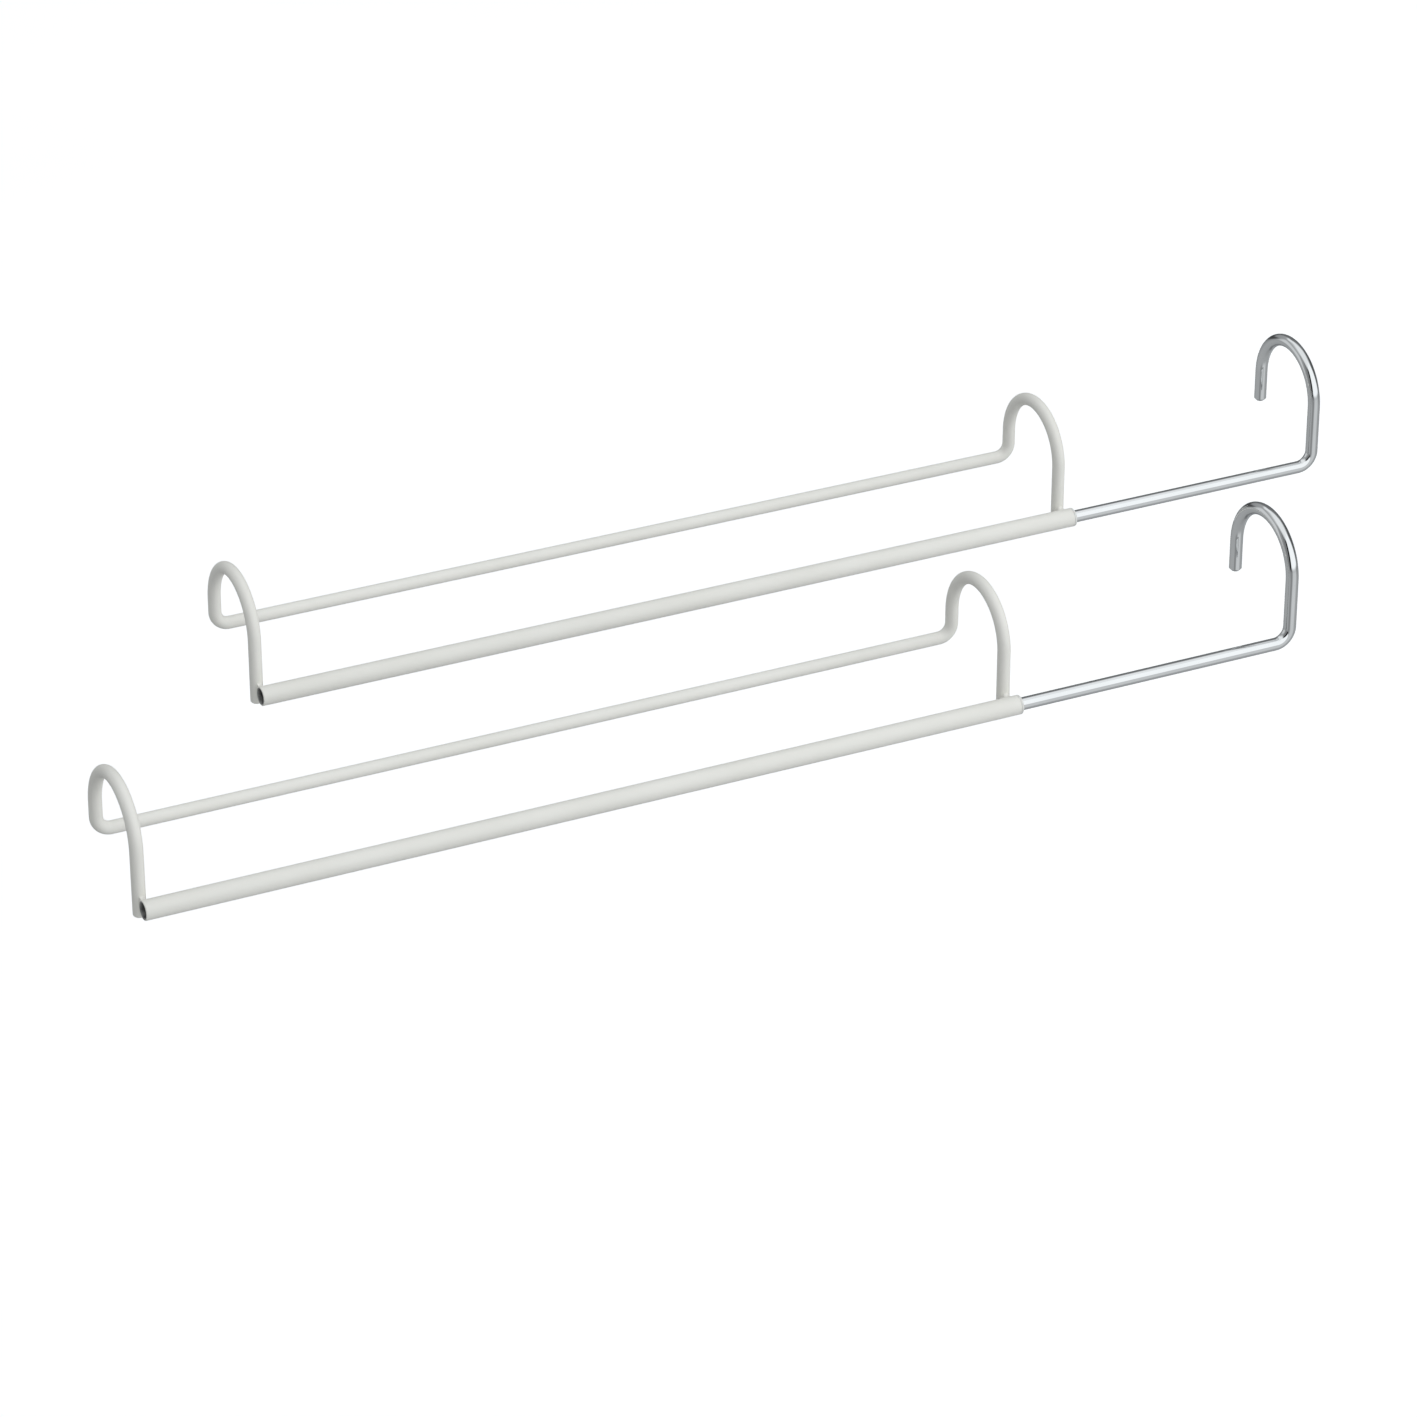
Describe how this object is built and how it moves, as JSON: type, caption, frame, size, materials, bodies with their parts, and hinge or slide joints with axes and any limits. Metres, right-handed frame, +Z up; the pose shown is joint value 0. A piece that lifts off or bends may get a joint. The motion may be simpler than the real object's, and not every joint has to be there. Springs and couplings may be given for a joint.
{
  "type": "hanging file rack",
  "caption": "Extendable hook-over rails for hanging files: a coated tube with arched hooks on a bent wire and a chromed rod that slides out.",
  "frame": {"origin": "seat of the front rail's left arch: the top of the arch's inside, which rests on the wall's edge", "axes": "+Z up, +X along the tubes towards the chromed hooks, +Y from a tube to its back wire"},
  "size_m": [0.7077, 0.2323, 0.0678],
  "materials": {
    "white_powder_coat": "satin powder coat, warm white",
    "chrome_plate": "bright chrome plate",
    "white_nylon": "moulded nylon, satin",
    "grey_nylon": "moulded nylon, matt"
  },
  "bodies": {
    "front_rail": {"front_tube": "white_powder_coat", "front_mouth_bush": "white_nylon", "front_hanger_wire": "white_powder_coat", "front_left_weld": "white_powder_coat", "front_right_weld": "white_powder_coat"},
    "front_slider": {"front_rod_slider": "grey_nylon"},
    "front_rod": {"front_hook_rod": "chrome_plate"},
    "rear_rail": {"rear_tube": "white_powder_coat", "rear_mouth_bush": "white_nylon", "rear_hanger_wire": "white_powder_coat", "rear_left_weld": "white_powder_coat", "rear_right_weld": "white_powder_coat"},
    "rear_slider": {"rear_rod_slider": "grey_nylon"},
    "rear_rod": {"rear_hook_rod": "chrome_plate"}
  },
  "joints": [
    {"name": "front_rod_slide", "type": "slide", "parent": "front_rail", "child": "front_slider", "axis": [1, 0, 0], "range_m": [-0.136, 0.255]},
    {"name": "front_rod_swivel", "type": "hinge", "parent": "front_slider", "child": "front_rod", "pos_m": [0.1, -0.0336, -0.04729], "axis": [1, 0, 0], "continuous": true},
    {"name": "rear_rod_slide", "type": "slide", "parent": "rear_rail", "child": "rear_slider", "axis": [1, 0, 0], "range_m": [-0.128, 0.263]},
    {"name": "rear_rod_swivel", "type": "hinge", "parent": "rear_slider", "child": "rear_rod", "pos_m": [0.223, 0.1319, -0.04729], "axis": [1, 0, 0], "continuous": true},
    {"name": "rear_rail_spacing", "type": "slide", "parent": "front_rail", "child": "rear_rail", "axis": [0, 1, 0], "range_m": [0, 0.228]}
  ]
}
